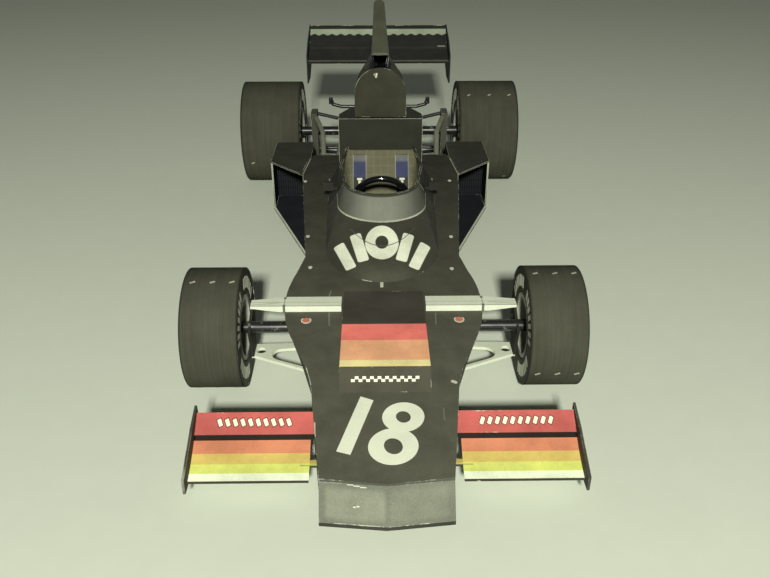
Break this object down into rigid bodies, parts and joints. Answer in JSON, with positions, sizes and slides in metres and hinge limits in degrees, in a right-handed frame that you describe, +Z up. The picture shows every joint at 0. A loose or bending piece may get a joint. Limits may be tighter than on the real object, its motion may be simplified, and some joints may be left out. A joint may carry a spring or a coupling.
{
  "type": "card scale model of an open wheel racing car",
  "caption": "Folded card scale model of a single-seat open wheel racing car with wings, side pods and a tall airbox; its wheels turn freely.",
  "frame": {"origin": "on the ground under the middle of the overall length, on the centre line", "axes": "+Z up, -Y towards the nose, +X towards the car's left side"},
  "size_m": [0.078, 0.191, 0.0524],
  "materials": {
    "black_card": "printed black card, satin",
    "nose_face_card": "printed grey mesh on card",
    "stripe_card": "card printed in red, orange, yellow and white bands",
    "flap_card": "card printed red",
    "screen_card": "smoky grey card",
    "seat_card": "olive card printed with quilting",
    "belt_card": "blue paper strip",
    "white_card": "white card",
    "grey_card": "printed grey card",
    "engine_card": "printed metal-grey card",
    "tyre_card": "black card strip, matt",
    "rim_card": "printed light grey card",
    "axle_paint": "wire in a black paper tube",
    "wire_gloss": "gloss black wire",
    "mesh_card": "printed radiator mesh"
  },
  "bodies": {
    "chassis": {"front_axle": "axle_paint", "rear_axle": "axle_paint", "floor_pan": "black_card", "tub_side_left": "black_card", "tub_side_right": "black_card", "rear_bulkhead": "black_card", "deck": "black_card", "nose_face": "nose_face_card", "nose_lip": "black_card", "nose_ramp": "stripe_card", "cowl": "black_card", "windscreen": "screen_card", "cockpit_side_left": "black_card", "cockpit_side_right": "black_card", "seat": "seat_card", "seat_belts": "belt_card", "dashboard": "black_card", "steering_wheel": "wire_gloss", "steering_column": "axle_paint", "mirrors": "black_card", "headrest_box": "black_card", "engine_cover": "black_card", "headrest_plate": "black_card", "airbox": "black_card", "side_pod_left": "black_card", "side_pod_right": "black_card", "radiators": "mesh_card", "engine_block": "engine_card", "cylinder_heads": "engine_card", "gearbox": "engine_card", "exhaust_left": "grey_card", "exhaust_right": "grey_card", "front_wing_left": "stripe_card", "front_wing_right": "stripe_card", "front_flaps": "flap_card", "front_endplates": "black_card", "front_uprights": "black_card", "upper_arm_left": "white_card", "upper_arm_right": "white_card", "lower_wishbone_left": "white_card", "lower_wishbone_right": "white_card", "rear_uprights": "grey_card", "rear_upper_links": "axle_paint", "rear_lower_arms": "axle_paint", "radius_rods": "grey_card", "anti_roll_bar": "axle_paint", "rear_wing": "black_card", "rear_endplates": "black_card", "wing_post": "black_card"},
    "front_left_wheel": {"front_left_tyre": "tyre_card", "front_left_rim": "rim_card"},
    "front_right_wheel": {"front_right_tyre": "tyre_card", "front_right_rim": "rim_card"},
    "rear_left_wheel": {"rear_left_tyre": "tyre_card", "rear_left_rim": "rim_card"},
    "rear_right_wheel": {"rear_right_tyre": "tyre_card", "rear_right_rim": "rim_card"}
  },
  "joints": [
    {"name": "front_left_wheel_spin", "type": "hinge", "parent": "chassis", "child": "front_left_wheel", "pos_m": [0.0299, -0.0542, 0.011], "axis": [1, 0, 0], "continuous": true},
    {"name": "front_right_wheel_spin", "type": "hinge", "parent": "chassis", "child": "front_right_wheel", "pos_m": [-0.0299, -0.0542, 0.011], "axis": [1, 0, 0], "continuous": true},
    {"name": "rear_left_wheel_spin", "type": "hinge", "parent": "chassis", "child": "rear_left_wheel", "pos_m": [0.03075, 0.0513, 0.0143], "axis": [1, 0, 0], "continuous": true},
    {"name": "rear_right_wheel_spin", "type": "hinge", "parent": "chassis", "child": "rear_right_wheel", "pos_m": [-0.03075, 0.0513, 0.0143], "axis": [1, 0, 0], "continuous": true}
  ]
}
